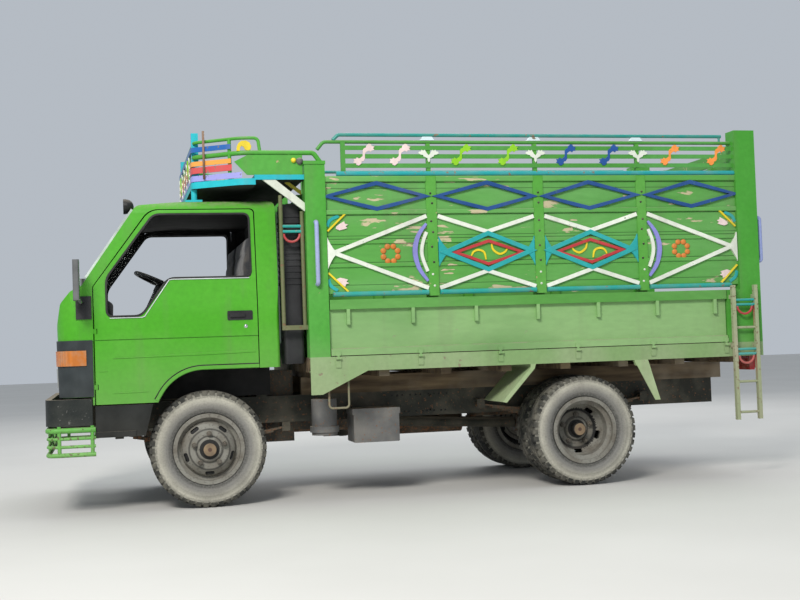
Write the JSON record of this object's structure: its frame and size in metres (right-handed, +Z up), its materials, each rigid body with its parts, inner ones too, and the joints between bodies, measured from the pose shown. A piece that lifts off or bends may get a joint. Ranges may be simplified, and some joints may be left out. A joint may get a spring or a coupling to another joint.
{
  "type": "decorated light cargo truck",
  "caption": "Light forward-control cargo truck with painted, ornamented high sides, a roof carrier over the cab, drop sides, a tailgate, opening doors and steering.",
  "frame": {"origin": "on the ground under the middle of the truck's bounding box", "axes": "+X towards the tail, +Y towards the truck's right side, +Z up; the cab faces -X"},
  "size_m": [4.917, 2.14, 2.436],
  "materials": {
    "tyre": "dusty",
    "wheel_grey": "worn, dusty",
    "chassis_black": "dusty",
    "cast": "rough",
    "spring_steel": "rusty",
    "lime": "gloss, sun-worn",
    "glass": "clear",
    "black_plastic": "worn",
    "cloth": "worn",
    "dark_trim": "worn",
    "amber": "gloss",
    "lamp": "gloss",
    "red_lamp": "gloss",
    "bumper_black": "dented, worn",
    "green": "worn",
    "faded_green": "faded, chalky",
    "deck_wood": "worn",
    "board_paint": "painted, worn",
    "teal": "gloss",
    "slat_paint": "gloss, worn",
    "pale_paint": "worn"
  },
  "bodies": {
    "truck": {"air_drum": "chassis_black", "air_intake": "black_plastic", "battery_box": "chassis_black", "bumper": "bumper_black", "bumper_guard": "green", "cab_glass": "glass", "cab_shell": "lime", "cab_steps": "black_plastic", "cargo_deck": "deck_wood", "carrier_floor": "teal", "carrier_frame": "teal", "carrier_legs": "pale_paint", "carrier_slats": "slat_paint", "chassis_frame": "chassis_black", "corner_columns": "green", "dashboard": "dark_trim", "end_boards": "green", "engine_block": "cast", "exhaust": "spring_steel", "front_axle": "cast", "fuel_tank": "chassis_black", "grab_rails": "pale_paint", "grille": "dark_trim", "head_lamps": "lamp", "indicators": "amber", "ladder": "pale_paint", "leaf_springs": "spring_steel", "mirrors": "black_plastic", "painted_bars": "teal", "propeller_shaft": "chassis_black", "racks": "green", "rear_axle": "cast", "rear_cab_uprights": "teal", "rear_lamps": "red_lamp", "roof_lamp": "black_plastic", "seat_bases": "dark_trim", "seats": "cloth", "side_boards": "board_paint", "side_sills": "faded_green", "splash_plates": "black_plastic", "stake_posts": "green", "wheel_housings": "chassis_black"},
    "wheel_front_left": {"tyre_front_left": "tyre", "rim_front_left": "wheel_grey"},
    "wheel_front_right": {"tyre_front_right": "tyre", "rim_front_right": "wheel_grey"},
    "wheels_rear_left": {"tyres_rear_left": "tyre", "rims_rear_left": "wheel_grey"},
    "wheels_rear_right": {"tyres_rear_right": "tyre", "rims_rear_right": "wheel_grey"},
    "knuckle_left": {"knuckle_left": "cast"},
    "knuckle_right": {"knuckle_right": "cast"},
    "steering_wheel": {"steering_wheel": "black_plastic"},
    "door_left": {"door_left": "lime", "door_handle_left": "black_plastic"},
    "door_right": {"door_right": "lime", "door_handle_right": "black_plastic"},
    "drop_side_left": {"drop_side_left": "faded_green"},
    "drop_side_right": {"drop_side_right": "faded_green"},
    "tailgate": {"tailgate": "faded_green"}
  },
  "joints": [
    {"name": "steer_left", "type": "hinge", "parent": "truck", "child": "knuckle_left", "pos_m": [-1.4495, -0.6, 0.375], "axis": [0, 0, 1], "range_deg": [-32, 32]},
    {"name": "steer_right", "type": "hinge", "parent": "truck", "child": "knuckle_right", "pos_m": [-1.4495, 0.6, 0.375], "axis": [0, 0, 1], "range_deg": [-32, 32]},
    {"name": "front_wheel_spin_left", "type": "hinge", "parent": "knuckle_left", "child": "wheel_front_left", "pos_m": [-1.4495, -0.6975, 0.375], "axis": [0, 1, 0], "continuous": true},
    {"name": "rear_wheels_spin_left", "type": "hinge", "parent": "truck", "child": "wheels_rear_left", "pos_m": [1.0955, -0.65, 0.375], "axis": [0, 1, 0], "continuous": true},
    {"name": "front_wheel_spin_right", "type": "hinge", "parent": "knuckle_right", "child": "wheel_front_right", "pos_m": [-1.4495, 0.6975, 0.375], "axis": [0, 1, 0], "continuous": true},
    {"name": "rear_wheels_spin_right", "type": "hinge", "parent": "truck", "child": "wheels_rear_right", "pos_m": [1.0955, 0.65, 0.375], "axis": [0, 1, 0], "continuous": true},
    {"name": "steering_wheel_turn", "type": "hinge", "parent": "truck", "child": "steering_wheel", "pos_m": [-1.6705, 0.38, 1.5], "axis": [0.4305, 0, 0.9026], "range_deg": [-480, 480]},
    {"name": "door_hinge_left", "type": "hinge", "parent": "truck", "child": "door_left", "pos_m": [-2.1365, -0.837, 1.25], "axis": [0, 0, -1], "range_deg": [0, 70]},
    {"name": "door_hinge_right", "type": "hinge", "parent": "truck", "child": "door_right", "pos_m": [-2.1365, 0.837, 1.25], "axis": [0, 0, 1], "range_deg": [0, 70]},
    {"name": "drop_side_hinge_left", "type": "hinge", "parent": "truck", "child": "drop_side_left", "pos_m": [0.743, -0.942, 0.925], "axis": [1, 0, 0], "range_deg": [0, 180]},
    {"name": "drop_side_hinge_right", "type": "hinge", "parent": "truck", "child": "drop_side_right", "pos_m": [0.743, 0.942, 0.925], "axis": [-1, 0, 0], "range_deg": [0, 180]},
    {"name": "tailgate_hinge", "type": "hinge", "parent": "truck", "child": "tailgate", "pos_m": [2.4225, 0, 0.925], "axis": [0, 1, 0], "range_deg": [0, 180]}
  ],
  "couplings": [
    {"joint": "steer_right", "follows": "steer_left", "ratio": 1},
    {"joint": "steering_wheel_turn", "follows": "steer_left", "ratio": 15}
  ]
}
